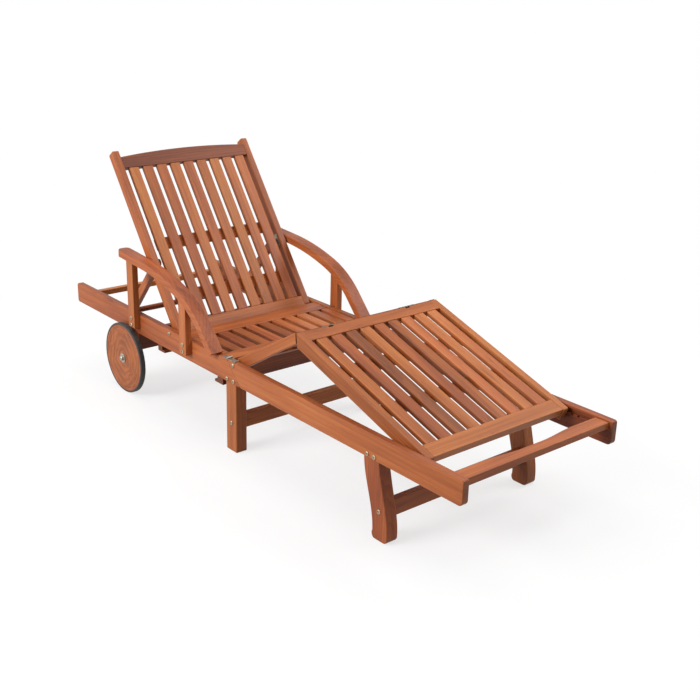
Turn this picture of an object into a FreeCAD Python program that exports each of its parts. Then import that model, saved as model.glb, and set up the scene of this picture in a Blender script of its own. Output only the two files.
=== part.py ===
import FreeCAD, Part
import math
import os

# Slatted hardwood chaise longue on two wheels, drawn as it stands with the back
# and the knee raised. Millimetres. +Z is up and z = 0 is the floor. Y runs along
# the length with the head at +Y and the feet at -Y, X runs across. Right and left
# are those of a person lying on it, so right is -X. The sizes below have y = 0 at
# the fold of the frame; each piece is moved to the middle of the length when written.

V = FreeCAD.Vector
X_AXIS = V(1, 0, 0)

# Overall frame
LENGTH = 2000.0
RAIL_OUT = 300.0          # outer face of a side rail, from the middle
BOARD = 22.0              # thickness of rails, posts and stiles
RAIL_IN = RAIL_OUT - BOARD
RAIL_TOP = 300.0
RAIL_LOW = 228.0
FOOT_Y = -1010.0
HEAD_Y = FOOT_Y + LENGTH
HEAD_CORNER = 10.0        # rounding of the rail ends
FOOT_CORNER_TOP = 8.0
FOOT_CORNER_LOW = 14.0
EASE = 2.0                # rounding of the sawn edges
LEG_EASE = 3.0            # rounding of rails, legs and arms
LAST_BIT = 0.1            # kept off a full half-round, so a short flat is left

# Fold joint of the side rails
FOLD_Y = 0.0
FOLD_Z = 304.0
SCARF_RUN = RAIL_TOP - RAIL_LOW
SCARF_GAP = 0.5           # each face stands this far from the scarf plane
REAR_LEAF = 27.0          # from the fold axis to the end of each leaf
FRONT_LEAF = 40.0
LEAF_WIDE = 18.0
LEAF_THICK = 2.0
KNUCKLE_R = 3.7
KNUCKLE_GAP = 0.4         # between knuckles, and round the hinge pins
FOLD_PIN_R = 1.6

# Legs
LEG_OUT = 299.0
LEG_IN = 259.0
LAP_TOP = 256.0           # the leg tops lap behind the rails up to here
MID_LEG_Y = (-48.0, 6.0)
FRONT_LEG_REAR = [(-646, RAIL_LOW), (-653, 182), (-671, 121), (-685, 67), (-689, 18)]
FRONT_LEG_FORE = [(-749, 16), (-745, 67), (-732, 121), (-716, 182), (-707, RAIL_LOW)]
FRONT_LEG_TOE = 14.0      # length of the rounding under each end of the sole
TOE_RISE = 4.5            # height of its middle point
MID_STRETCHER_Z = (72.0, 120.0)
FRONT_STRETCHER_Z = (65.0, 115.0)
MID_STRETCHER_Y = (-33.0, -11.0)
FRONT_STRETCHER_Y = (-726.0, -704.0)
MID_RAIL_Y = (-1.0, 21.0)
MID_RAIL_Z = (220.0, 274.5)

# Cross pieces of the rear frame
HEAD_BAR_Y = (942.0, 966.0)
HEAD_BAR_Z = (247.0, 267.0)
AXLE_BOARD_Y = (582.0, 604.0)
AXLE_BOARD_Z = (150.0, 218.0)
FRONT_BEARER_Y = (22.0, 68.0)
REAR_BEARER_Y = (370.0, 412.0)
BEARER_DEEP = 21.0
BEARER_LIP_DEEP = 8.0     # what is left under the rebate
BEARER_LIP_WIDE = 16.0

# Wheels
WHEEL_Y = 607.0
WHEEL_R = 125.0
TYRE_DEEP = 6.0
TYRE_EASE = 3.0
TYRE_GAP = 0.05
TYRE_PROUD = 0.5          # the tyre stands past the outer face of the disc
WHEEL_X = (310.0, 328.0)  # inner and outer face
DISC_EASE = 1.5
RING_RADII = (108.0, 98.0, 66.0, 28.0)  # shallow rings turned in the disc
RING_CUT_R = 1.6
RING_CUT_OUT = 0.4
AXLE_R = 6.0
AXLE_PAST = 1.5           # each axle ends this far past the disc
AXLE_HEAD = 5.0
BORE_GAP = 0.4
COLLAR_R = 10.0           # collar and head of an axle
COLLAR_GAP = (0.4, 0.1)   # to the wheel and to the axle block
CAP_X = 340.0
CAP_R = 8.5
CAP_EASE = 3.5
WASHER_R = 17.0
WASHER_GAP = 0.6          # from the disc to the washer
WASHER_THICK = 2.0
BLOCK_Y = (577.0, 637.0)
BLOCK_LOW = 98.0
BLOCK_CORNER = 22.0

# Armrests and posts
ARM_X = (280.0, 324.0)
ARM_THICK = 26.0
ARM_REAR = (623.0, 514.8)  # top edge at the rear end
ARM_SLOPES = (3.5, 18.0, 47.0)
ARM_STRAIGHT = 153.3
ARM_RADII = (900.0, 330.0)
ARM_NOSE = 90.0           # straight length at the front, before it is cut off on the rail
ARM_END_CORNER = 16.0
POST_LOW = 255.0
POST_WIDE = 40.0
POST_GAP = 0.3            # between a post and the arm above it
REAR_POST_Y = 547.0
FRONT_POST_Y = 219.0

# Seat
SEAT_TOP = 297.0
SEAT_FRONT_Y = (4.0, 59.0)
SEAT_REAR_Y = (228.0, 302.0)
SLAT_THICK = 14.0
SLAT_COUNT = 9
SLAT_SHARE = 0.65         # part of the width that is slat, the rest is gaps
SLAT_DROP = 1.0           # slats lie this far under the boards beside them

# Back
BACK_PIVOT = (336.0, 286.0)
BACK_ANGLE = 53.5
BACK_LEN = 660.0
STILE_OUT = 273.0
STILE_IN = STILE_OUT - BOARD
STILE_HALF = 18.0
STILE_CORNER = 6.0
CREST_LOW = 594.0
CREST_TOP = 636.0
CREST_RISE = 12.0
BACK_RAIL_U = (-10.0, 27.0)
BACK_RAIL_N = (-6.0, 16.0)   # front and back faces of the crest and bottom rail
BACK_SLAT_N = 1.0            # underside of the slats
BATTEN_HALF = 20.0
BATTEN_DEEP = 16.0
BACK_BATTEN_U = (120.0, 314.0)
BACK_BATTEN_X = 226.0        # battens stop short of the prop legs

# Prop of the back and its racks
PROP_U = 255.0            # pivot of the prop along the stile
PROP_N = -22.0            # and behind its middle plane
PROP_LEN = 290.0
PROP_X = (229.0, 247.0)
PROP_HALF = 13.0
PROP_FOOT_R = 10.0
PROP_FOOT_Z = 257.0
PROP_FOOT_GAP = 0.05
PROP_FOOT_SHORT = 4.0     # the foot bar ends this far from each rail
EAR_TOP_HALF = 24.0       # half widths of a steel ear, on the stile and at its tip
EAR_TIP_HALF = 10.0
EAR_RISE = 8.0
EAR_FALL = 13.0
EAR_CORNERS = (4.0, 9.0)
EAR_THICK = 2.5
STUD_PAST = 3.0
RACK_X = (257.0, 277.9)
RACK_Y = (588.0, 905.0)
RACK_Z = (229.0, 245.3)
RACK_BACK_ANGLES = (20.0, 31.0, 42.0, 53.5, 65.0)
RACK_NOTCH_DEEP = 8.0
RACK_NOTCH_GAP = 1.0

# Thigh panel
THIGH_PIVOT = (-34.5, 290.0)
THIGH_ANGLE = 30.0
THIGH_TOP = 18.0          # panel top above the pivot line
KNEE_S = 329.0            # knee hinge along the thigh panel
KNEE_N = 15.0
THIGH_RAIL_S = (30.0, 75.0)
THIGH_RAIL_N = (-5.0, 17.0)
THIGH_SLAT_N = 2.0        # underside of the slats
THIGH_KNEE_RAIL = 40.0    # width of the rail at the knee
THIGH_KNEE_LOW = -12.0    # lower edge of the stile at the knee
THIGH_EDGE = [(100.0, -16.0), (210.0, -13.0)]  # its lower edge on the way there

# Calf panel, measured from the knee hinge
CALF_TOP = 3.0
CALF_DEEP = 40.0
CALF_RAIL_N = (-20.0, 2.0)
CALF_SLAT_N = 1.0         # top of the slats
CALF_BATTEN_S = (180.0, 360.0)
CALF_BATTEN_N = -29.0
PIN_S = 549.0
PIN_N = -15.0
PIN_Z = 284.0
PIN_R = 4.5
PIN_SUNK = 4.0            # wood left between a foot pin and the inner face of its stile
PIN_SHORT = 2.0           # from a foot pin to the bottom of its groove
CALF_END_S = 576.0
CALF_NOSE = 4.0           # the top of the stile end leans out this far
CALF_END_CORNERS = (4.0, 6.0)
CALF_KNEE_RAIL = 44.0
CALF_FOOT_RAIL = 527.0
GROOVE_Y = (-946.0, -810.0)
GROOVE_HALF = 8.0
GROOVE_DEEP = 8.0
NOTCH_COUNT = 4
NOTCH_PITCH = 22.0
NOTCH_GAP = 1.0
MITRE = 24.0              # knee ends of both panels, off square
KNEE_GAP = 3.0            # from the hinge axis to each end
KNEE_HINGE_X = (-150.0, 150.0)
KNEE_HINGE_LONG = 60.0
KNEE_KNUCKLE_R = 2.6
KNEE_PIN_R = 1.1
KNEE_LEAF_THICK = 1.2
KNEE_LEAF_FALL = 14.0
KNEE_LEAF_GAP = 0.1
KNEE_NOTCH_HALF = 9.0     # notches over the middle of each knee hinge
KNEE_NOTCH_LONG = 6.0
KNEE_NOTCH_DEEP = 5.0     # below the hinge axis

# Foot bar
FOOT_BAR_Y = (-998.0, -952.0)
FOOT_BAR_Z = (275.0, 295.0)
SCOOP_DEEP = 11.0
SCOOP_HALF = 150.0        # half length of the hand hold
SCOOP_RUN = 90.0          # length of each slope into it
SCOOP_BEND = 400.0        # radius between slope and straight

# Fasteners
BOLT_R = 3.0
BOLT_HEAD_R = 7.0
BOLT_HEAD = 3.2
BOLT_DOME = 0.6           # share of the head's height that is rounded
BOLT_SOCKET = 0.4         # radius of the recess, as a share of the head's
BOLT_SHORT = 0.5          # from a bolt's tip to the far face
PIVOT_R = 4.0
PIVOT_GAP = 0.4
HOLE_GAP = 0.15

# Used for picking edges and for cutting right through
FLAT = 0.01
PAST = 1.0
LONG_EDGE = 50.0


def box(x0, x1, y0, y1, z0, z1):
    return Part.makeBox(x1 - x0, y1 - y0, z1 - z0, V(x0, y0, z0))


def eased(shape, radius=EASE):
    return shape.makeFillet(radius, shape.Edges)


def eased_box(x0, x1, y0, y1, z0, z1, radius=EASE):
    return eased(box(x0, x1, y0, y1, z0, z1), radius)


def mirrored(shape):
    return shape.mirror(V(0, 0, 0), X_AXIS)


def cylinder(radius, x0, x1, y, z):
    return Part.makeCylinder(radius, x1 - x0, V(x0, y, z), X_AXIS)


def rounded_wire(corners):
    """Closed outline in the YZ plane from (y, z, radius) corners."""
    count = len(corners)
    edges = []
    starts = []
    ends = []
    arcs = []
    for i in range(count):
        y, z, radius = corners[i]
        here = V(0, y, z)
        before = V(0, corners[i - 1][0], corners[i - 1][1])
        after = V(0, corners[(i + 1) % count][0], corners[(i + 1) % count][1])
        back = (before - here).normalize()
        ahead = (after - here).normalize()
        if radius == 0:
            starts.append(here)
            ends.append(here)
            arcs.append(None)
            continue
        half = back.getAngle(ahead) / 2
        run = radius / math.tan(half)
        inward = (back + ahead).normalize()
        middle = here + inward * (radius / math.sin(half) - radius)
        starts.append(here + back * run)
        ends.append(here + ahead * run)
        arcs.append(middle)
    for i in range(count):
        if arcs[i] is not None:
            edges.append(Part.Arc(starts[i], arcs[i], ends[i]).toShape())
        nxt = (i + 1) % count
        if (starts[nxt] - ends[i]).Length > 1e-6:
            edges.append(Part.makeLine(ends[i], starts[nxt]))
    return Part.Wire(edges)


def prism(wire, x0, x1):
    """Extrude a YZ outline across from x0 to x1."""
    face = Part.Face(wire)
    face.translate(V(x0, 0, 0))
    return face.extrude(V(x1 - x0, 0, 0))


def plate(corners, x0, x1):
    return prism(rounded_wire(corners), x0, x1)


def round_bar(y0, y1, z, half, x0, x1):
    """Bar along Y with half-round ends."""
    radius = half - LAST_BIT
    return plate([
        (y0, z - half, radius),
        (y1, z - half, radius),
        (y1, z + half, radius),
        (y0, z + half, radius),
    ], x0, x1)


def spline(points):
    curve = Part.BSplineCurve()
    curve.interpolate([V(0, y, z) for y, z in points])
    return curve.toShape()


def polyline(points):
    return Part.makePolygon([V(0, y, z) for y, z in points]).Edges


def turned(shape, pivot, degrees):
    """Turn about the X direction through a (y, z) pivot."""
    result = shape.copy()
    result.rotate(V(0, pivot[0], pivot[1]), X_AXIS, degrees)
    return result


def turned_point(point, pivot, degrees):
    a = math.radians(degrees)
    dy = point[0] - pivot[0]
    dz = point[1] - pivot[1]
    y = pivot[0] + dy * math.cos(a) - dz * math.sin(a)
    z = pivot[1] + dy * math.sin(a) + dz * math.cos(a)
    return (y, z)


def bolt(face_x, tip_x, y, z, radius=BOLT_R):
    """Round-headed bolt on the right side; its head stands on face_x, its tip is at tip_x."""
    out = -1 if tip_x > face_x else 1
    head_x = face_x + out * BOLT_HEAD
    low, high = sorted((face_x, head_x))
    head = cylinder(BOLT_HEAD_R, low, high, y, z)
    rim = [e for e in head.Edges if abs(e.CenterOfMass.x - head_x) < 0.01]
    head = head.makeFillet(BOLT_HEAD * BOLT_DOME, rim)
    low, high = sorted((head_x - out * BOLT_HEAD * BOLT_DOME, head_x))
    head = head.cut(cylinder(BOLT_HEAD_R * BOLT_SOCKET, low, high, y, z))
    low, high = sorted((face_x, tip_x))
    return head.fuse(cylinder(radius, low, high, y, z)).removeSplitter()


def hole(x0, x1, y, z, radius=BOLT_R, gap=HOLE_GAP):
    return cylinder(radius + gap, x0, x1, y, z)


def drilled(shape, cutters):
    return shape.cut(Part.makeCompound(cutters))


def cut_ends(shape):
    """Edges that lie across, in a plane square to X."""
    return [e for e in shape.Edges if e.BoundBox.XLength < FLAT]


def slats(width, y0, y1, z0, z1):
    """Evenly spaced slats along Y, filling the width between two side members."""
    wide = SLAT_SHARE * width / SLAT_COUNT
    gap = (width - SLAT_COUNT * wide) / (SLAT_COUNT + 1)
    result = []
    for i in range(SLAT_COUNT):
        x0 = -width / 2 + gap + i * (wide + gap)
        result.append(eased_box(x0, x0 + wide, y0, y1, z0, z1))
    return result


def export(name, shape):
    """Move a piece so that the origin lies under the middle of the length, and write it."""
    placed = shape.translated(V(0, -(HEAD_Y + FOOT_Y) / 2, 0))
    placed.exportStep("parts/" + name + ".step")


def export_pair(name, right_shape):
    export(name + "_right", right_shape)
    export(name + "_left", mirrored(right_shape))


def export_group(name, shapes):
    export(name, Part.makeCompound(shapes))


def both_sides(shapes):
    return shapes + [mirrored(s) for s in shapes]


# Where the turned panels stand
KNEE = turned_point((THIGH_PIVOT[0] - KNEE_S, THIGH_PIVOT[1] + KNEE_N), THIGH_PIVOT, -THIGH_ANGLE)
CALF_REACH = math.hypot(PIN_S, PIN_N)
CALF_ANGLE = math.degrees(math.asin((KNEE[1] - PIN_Z) / CALF_REACH) - math.atan2(-PIN_N, PIN_S))
PROP_FLAT = (BACK_PIVOT[0] + PROP_U, BACK_PIVOT[1] + PROP_N)
PROP_PIVOT = turned_point(PROP_FLAT, BACK_PIVOT, BACK_ANGLE)
PROP_ANGLE = math.degrees(math.asin((PROP_PIVOT[1] - PROP_FOOT_Z) / PROP_LEN))
PROP_FLAT_ANGLE = math.degrees(math.asin((PROP_FLAT[1] - PROP_FOOT_Z) / PROP_LEN))
PROP_RATE = (PROP_ANGLE - PROP_FLAT_ANGLE) / BACK_ANGLE


# Bolt places on the right side: y and z
POST_BOLT_Z = (264.0, 287.0)
MID_LEG_BOLTS = [(-2.0, 238.0), (-36.0, 238.0)]
FRONT_LEG_BOLTS = [(-661.0, 238.0), (-689.0, 238.0)]
MID_STRETCHER_BOLT = (-22.0, 96.0)
FRONT_STRETCHER_BOLT = (-715.0, 88.0)
STRETCHER_BOLT_TIP = 225.0


def rear_rail():
    shape = plate([
        (HEAD_Y, RAIL_LOW, HEAD_CORNER),
        (HEAD_Y, RAIL_TOP, HEAD_CORNER),
        (FOLD_Y + SCARF_GAP, RAIL_TOP, 0),
        (FOLD_Y + SCARF_GAP - SCARF_RUN, RAIL_LOW, 0),
    ], -RAIL_OUT, -RAIL_IN)
    shape = eased(shape, LEG_EASE)
    holes = [hole(-RAIL_OUT, -RAIL_IN, y, z) for y, z in MID_LEG_BOLTS]
    for post_y in (FRONT_POST_Y, REAR_POST_Y):
        holes += [hole(-RAIL_OUT, -RAIL_IN, post_y, z) for z in POST_BOLT_Z]
    holes.append(hole(-RAIL_OUT, -RAIL_IN, BACK_PIVOT[0], BACK_PIVOT[1], PIVOT_R))
    return drilled(shape, holes)


def front_rail():
    shape = plate([
        (FOLD_Y - SCARF_GAP, RAIL_TOP, 0),
        (FOOT_Y, RAIL_TOP, FOOT_CORNER_TOP),
        (FOOT_Y, RAIL_LOW, FOOT_CORNER_LOW),
        (FOLD_Y - SCARF_GAP - SCARF_RUN, RAIL_LOW, 0),
    ], -RAIL_OUT, -RAIL_IN)
    shape = eased(shape, LEG_EASE)
    groove_x = -RAIL_IN - GROOVE_DEEP
    groove = round_bar(GROOVE_Y[0], GROOVE_Y[1], PIN_Z, GROOVE_HALF, groove_x, -RAIL_IN)
    cutters = [groove]
    # Notches under the groove hold the foot pins at several heights of the knee.
    pin_y = turned_point((KNEE[0] - PIN_S, KNEE[1] + PIN_N), KNEE, CALF_ANGLE)[0]
    for i in range(NOTCH_COUNT):
        notch_y = pin_y - NOTCH_PITCH * i
        cutters.append(cylinder(PIN_R + NOTCH_GAP, groove_x, -RAIL_IN, notch_y, PIN_Z - GROOVE_HALF))
    cutters += [hole(-RAIL_OUT, -RAIL_IN, y, z) for y, z in FRONT_LEG_BOLTS]
    cutters.append(hole(-RAIL_OUT, -RAIL_IN, THIGH_PIVOT[0], THIGH_PIVOT[1], PIVOT_R))
    return drilled(shape, cutters)


def mid_leg():
    foot = eased_box(-LEG_OUT, -LEG_IN, MID_LEG_Y[0], MID_LEG_Y[1], 0, LAP_TOP, LEG_EASE)
    rebate = box(-RAIL_OUT - PAST, -RAIL_IN, MID_LEG_Y[0], MID_LEG_Y[1], RAIL_LOW, LAP_TOP)
    holes = [hole(-RAIL_IN, -LEG_IN, y, z) for y, z in MID_LEG_BOLTS]
    holes.append(hole(-LEG_OUT, -LEG_IN, *MID_STRETCHER_BOLT))
    return drilled(foot.cut(rebate), holes)


def front_leg():
    """Sawn to a slight S and rounded under; its top laps behind the rail."""
    rear_low = FRONT_LEG_REAR[-1]
    fore_low = FRONT_LEG_FORE[0]
    rear_toe = V(0, rear_low[0] - FRONT_LEG_TOE, 0)
    fore_toe = V(0, fore_low[0] + FRONT_LEG_TOE, 0)
    sole = [
        Part.Arc(V(0, *rear_low), V(0, rear_low[0] - TOE_RISE, TOE_RISE), rear_toe).toShape(),
        Part.makeLine(rear_toe, fore_toe),
        Part.Arc(fore_toe, V(0, fore_low[0] + TOE_RISE, TOE_RISE), V(0, *fore_low)).toShape(),
    ]
    rear_y = FRONT_LEG_REAR[0][0]
    fore_y = FRONT_LEG_FORE[-1][0]
    top = polyline([FRONT_LEG_FORE[-1], (fore_y, LAP_TOP), (rear_y, LAP_TOP), FRONT_LEG_REAR[0]])
    edges = [spline(FRONT_LEG_REAR)] + sole + [spline(FRONT_LEG_FORE)] + top
    shape = prism(Part.Wire(edges), -LEG_OUT, -LEG_IN)
    shape = shape.makeFillet(LEG_EASE, [e for e in cut_ends(shape) if e.Length > LONG_EDGE])
    rebate = box(-RAIL_OUT - PAST, -RAIL_IN, fore_low[0], rear_y + PAST, RAIL_LOW, LAP_TOP)
    holes = [hole(-RAIL_IN, -LEG_IN, y, z) for y, z in FRONT_LEG_BOLTS]
    holes.append(hole(-LEG_OUT, -LEG_IN, *FRONT_STRETCHER_BOLT))
    return drilled(shape.cut(rebate), holes)


def stretcher(span_y, span_z, bolt_place):
    shape = eased_box(-LEG_IN, LEG_IN, span_y[0], span_y[1], span_z[0], span_z[1])
    bore = hole(-LEG_IN, -STRETCHER_BOLT_TIP + PAST, *bolt_place)
    return drilled(shape, [bore, mirrored(bore)])


def arm():
    """Board sawn to a curve, level behind and swept down to the rail in front."""
    slopes = [math.radians(a) for a in ARM_SLOPES]

    def along(slope):
        return V(0, -math.cos(slope), -math.sin(slope))

    def up(slope):
        return V(0, -math.sin(slope), math.cos(slope))

    tail = V(0, *ARM_REAR)
    centre_a = tail + along(slopes[0]) * ARM_STRAIGHT - up(slopes[0]) * ARM_RADII[0]
    bend = centre_a + up(slopes[1]) * ARM_RADII[0]
    centre_b = bend - up(slopes[1]) * ARM_RADII[1]

    def edge_line(depth):
        points = []
        for centre, radius, first, last in (
                (centre_a, ARM_RADII[0], slopes[0], slopes[1]),
                (centre_b, ARM_RADII[1], slopes[1], slopes[2])):
            points.append([centre + up(first + (last - first) * k) * (radius - depth) for k in (0, 0.5, 1)])
        rear = tail - up(slopes[0]) * depth
        nose = points[1][2] + along(slopes[2]) * ARM_NOSE
        return rear, points, nose

    rear_top, top, nose_top = edge_line(0)
    rear_low, low, nose_low = edge_line(ARM_THICK)
    edges = [
        Part.makeLine(rear_top, top[0][0]),
        Part.Arc(*top[0]).toShape(),
        Part.Arc(*top[1]).toShape(),
        Part.makeLine(top[1][2], nose_top),
        Part.makeLine(nose_top, nose_low),
        Part.makeLine(nose_low, low[1][2]),
        Part.Arc(*low[1]).toShape(),
        Part.Arc(*low[0]).toShape(),
        Part.makeLine(low[0][0], rear_low),
        Part.makeLine(rear_low, rear_top),
    ]
    shape = prism(Part.Wire(edges), -ARM_X[1], -ARM_X[0])
    tail_edges = [e for e in cut_ends(shape) if e.BoundBox.YMin > tail.y - PAST]
    shape = shape.makeFillet(ARM_END_CORNER, tail_edges)
    below = box(-ARM_X[1] - PAST, -ARM_X[0] + PAST, -ARM_REAR[0], ARM_REAR[0], 0, RAIL_TOP)
    shape = shape.cut(below)
    long_edges = [e for e in cut_ends(shape) if e.Length > LONG_EDGE]
    return shape.makeFillet(LEG_EASE, long_edges)


def post(centre_y, arm_shape):
    """Upright on the outside of the rail, its top scribed to the underside of the arm."""
    blank = box(-RAIL_OUT - BOARD, -RAIL_OUT, centre_y - POST_WIDE / 2, centre_y + POST_WIDE / 2,
                POST_LOW, ARM_REAR[1] + ARM_THICK)
    uprights = [e for e in blank.Edges if e.BoundBox.ZLength > POST_WIDE]
    blank = blank.makeFillet(EASE, uprights)
    lowered = arm_shape.copy()
    lowered.translate(V(0, 0, -POST_GAP))
    shape = min(blank.cut(lowered).Solids, key=lambda s: s.BoundBox.ZMin)
    holes = [hole(-RAIL_OUT - BOARD, -RAIL_OUT, centre_y, z) for z in POST_BOLT_Z]
    return drilled(shape, holes)


def axle_block():
    shape = plate([
        (BLOCK_Y[0], BLOCK_LOW, BLOCK_CORNER),
        (BLOCK_Y[1], BLOCK_LOW, BLOCK_CORNER),
        (BLOCK_Y[1], RAIL_LOW, 0),
        (BLOCK_Y[0], RAIL_LOW, 0),
    ], -RAIL_OUT, -RAIL_IN)
    return drilled(eased(shape), [hole(-RAIL_OUT, -RAIL_IN, WHEEL_Y, WHEEL_R, AXLE_R)])


def stub_axle():
    """Short steel axle through its block, with a head inside and a spacer collar beside the wheel."""
    end_x = WHEEL_X[1] + AXLE_PAST
    head_x = -RAIL_IN + COLLAR_GAP[1]
    rod = cylinder(AXLE_R, -end_x, head_x, WHEEL_Y, WHEEL_R)
    collar = cylinder(COLLAR_R, -WHEEL_X[0] + COLLAR_GAP[0], -RAIL_OUT - COLLAR_GAP[1], WHEEL_Y, WHEEL_R)
    head = cylinder(COLLAR_R, head_x, head_x + AXLE_HEAD, WHEEL_Y, WHEEL_R)
    return rod.fuse([collar, head]).removeSplitter()


def axle_cap():
    """Domed nut on a broad washer at the end of an axle."""
    washer_x = WHEEL_X[1] + WASHER_GAP
    nut_x = washer_x + WASHER_THICK
    washer = cylinder(WASHER_R, -nut_x, -washer_x, WHEEL_Y, WHEEL_R)
    washer = washer.cut(cylinder(AXLE_R + HOLE_GAP, -nut_x, -washer_x, WHEEL_Y, WHEEL_R))
    nut = cylinder(CAP_R, -CAP_X, -nut_x, WHEEL_Y, WHEEL_R)
    rim = [e for e in nut.Edges if abs(e.CenterOfMass.x + CAP_X) < FLAT]
    nut = nut.makeFillet(CAP_EASE, rim)
    return washer.fuse(nut).removeSplitter()


def wheel_disc():
    """Laminated disc with rings turned in its outer face."""
    radius = WHEEL_R - TYRE_DEEP
    disc = cylinder(radius, -WHEEL_X[1], -WHEEL_X[0], WHEEL_Y, WHEEL_R)
    disc = disc.makeFillet(DISC_EASE, cut_ends(disc))
    disc = disc.cut(hole(-WHEEL_X[1], -WHEEL_X[0], WHEEL_Y, WHEEL_R, AXLE_R, BORE_GAP))
    for ring_r in RING_RADII:
        ring = Part.makeTorus(ring_r, RING_CUT_R, V(-WHEEL_X[1] - RING_CUT_OUT, WHEEL_Y, WHEEL_R), X_AXIS)
        disc = disc.cut(ring)
    return disc


def tyre():
    outer = cylinder(WHEEL_R, -WHEEL_X[1] - TYRE_PROUD, -WHEEL_X[0], WHEEL_Y, WHEEL_R)
    outer = outer.makeFillet(TYRE_EASE, cut_ends(outer))
    inner_r = WHEEL_R - TYRE_DEEP + TYRE_GAP
    return outer.cut(cylinder(inner_r, -WHEEL_X[1] - PAST, -WHEEL_X[0] + PAST, WHEEL_Y, WHEEL_R))


def rack():
    """Notched bar inside the rail; the foot bar of the prop slides along its top."""
    shape = eased_box(-RACK_X[1], -RACK_X[0], RACK_Y[0], RACK_Y[1], RACK_Z[0], RACK_Z[1])
    notches = []
    for angle in RACK_BACK_ANGLES:
        top = turned_point(PROP_FLAT, BACK_PIVOT, angle)
        lean = math.radians(PROP_FLAT_ANGLE + PROP_RATE * angle)
        foot_y = top[0] + PROP_LEN * math.cos(lean)
        notch_r = PROP_FOOT_R + RACK_NOTCH_GAP
        centre_z = RACK_Z[1] - RACK_NOTCH_DEEP + notch_r
        notches.append(cylinder(notch_r, -RACK_X[1], -RACK_X[0], foot_y, centre_z))
    return drilled(shape, notches)


def fold_leaf(side):
    """Half of a fold hinge on the rail top; side +1 is the rear half, -1 the front half."""
    mid_x = -(RAIL_OUT + RAIL_IN) / 2
    near = KNUCKLE_R * 0.6
    reach = REAR_LEAF if side > 0 else FRONT_LEAF
    y0, y1 = sorted((FOLD_Y + side * near, FOLD_Y + side * reach))
    x0 = mid_x - LEAF_WIDE / 2
    x1 = mid_x + LEAF_WIDE / 2
    leaf = box(x0, x1, y0, y1, RAIL_TOP, RAIL_TOP + LEAF_THICK)
    return knuckled(leaf, side, x0, x1, (FOLD_Y, FOLD_Z), KNUCKLE_R, FOLD_PIN_R)


def knuckled(leaf, side, x0, x1, axis, radius, pin_r):
    """Add the rolled barrel to a hinge leaf: side +1 has the middle knuckle and the pin, -1 the outer two."""
    third = (x1 - x0) / 3
    mid0 = x0 + third
    mid1 = x1 - third
    wide_r = radius + KNUCKLE_GAP
    if side > 0:
        clear = [cylinder(wide_r, x0 - PAST, mid0, *axis), cylinder(wide_r, mid1, x1 + PAST, *axis)]
        barrel = [cylinder(radius, mid0, mid1, *axis), cylinder(pin_r, x0, x1, *axis)]
        return drilled(leaf, clear).fuse(barrel).removeSplitter()
    out0 = mid0 - KNUCKLE_GAP
    out1 = mid1 + KNUCKLE_GAP
    barrel = [cylinder(radius, x0, out0, *axis), cylinder(radius, out1, x1, *axis)]
    bore = cylinder(pin_r + KNUCKLE_GAP, x0 - PAST, x1 + PAST, *axis)
    return leaf.cut(cylinder(wide_r, out0, out1, *axis)).fuse(barrel).cut(bore).removeSplitter()


def back_placed(shape):
    return turned(shape, BACK_PIVOT, BACK_ANGLE)


def back_box(x0, x1, u0, u1, n0, n1):
    """Board of the back, given along (u) and square to (n) the stiles."""
    return eased_box(x0, x1, BACK_PIVOT[0] + u0, BACK_PIVOT[0] + u1,
                     BACK_PIVOT[1] + n0, BACK_PIVOT[1] + n1)


def back_stile():
    y, z = BACK_PIVOT
    end = STILE_HALF
    shape = plate([
        (y - end, z - end, end - LAST_BIT),
        (y + BACK_LEN, z - end, STILE_CORNER),
        (y + BACK_LEN, z + end, STILE_CORNER),
        (y - end, z + end, end - LAST_BIT),
    ], -STILE_OUT, -STILE_IN)
    shape = drilled(eased(shape), [hole(-STILE_OUT, -STILE_IN, y, z, PIVOT_R, PIVOT_GAP)])
    return back_placed(shape)


def back_crest():
    """Top board of the back, arched along its upper edge."""
    y0 = BACK_PIVOT[0] + CREST_LOW
    y1 = BACK_PIVOT[0] + CREST_TOP
    z0 = BACK_PIVOT[1] + BACK_RAIL_N[0]
    corners = [V(-STILE_IN, y0, z0), V(STILE_IN, y0, z0), V(STILE_IN, y1, z0), V(-STILE_IN, y1, z0)]
    crown = V(0, y1 + CREST_RISE, z0)
    edges = [
        Part.makeLine(corners[0], corners[1]),
        Part.makeLine(corners[1], corners[2]),
        Part.Arc(corners[2], crown, corners[3]).toShape(),
        Part.makeLine(corners[3], corners[0]),
    ]
    shape = Part.Face(Part.Wire(edges)).extrude(V(0, 0, BOARD))
    return back_placed(eased(shape))


def prop_bracket():
    """Steel ear on the stile with the stud the prop hangs on."""
    y, z = PROP_FLAT
    base_z = BACK_PIVOT[1] + EAR_RISE
    tip_z = z - EAR_FALL
    ear = plate([
        (y - EAR_TOP_HALF, base_z, EAR_CORNERS[0]),
        (y - EAR_TIP_HALF, tip_z, EAR_CORNERS[1]),
        (y + EAR_TIP_HALF, tip_z, EAR_CORNERS[1]),
        (y + EAR_TOP_HALF, base_z, EAR_CORNERS[0]),
    ], -STILE_IN, -STILE_IN + EAR_THICK)
    stud = cylinder(PIVOT_R, -STILE_IN + EAR_THICK, -PROP_X[0] + STUD_PAST, y, z)
    return back_placed(ear.fuse(stud).removeSplitter())


def prop_placed(shape):
    """Move a piece drawn about the flat prop pivot to where that pivot stands, and lean it."""
    result = shape.copy()
    result.translate(V(0, PROP_PIVOT[0] - PROP_FLAT[0], PROP_PIVOT[1] - PROP_FLAT[1]))
    return turned(result, PROP_PIVOT, -PROP_ANGLE)


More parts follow.
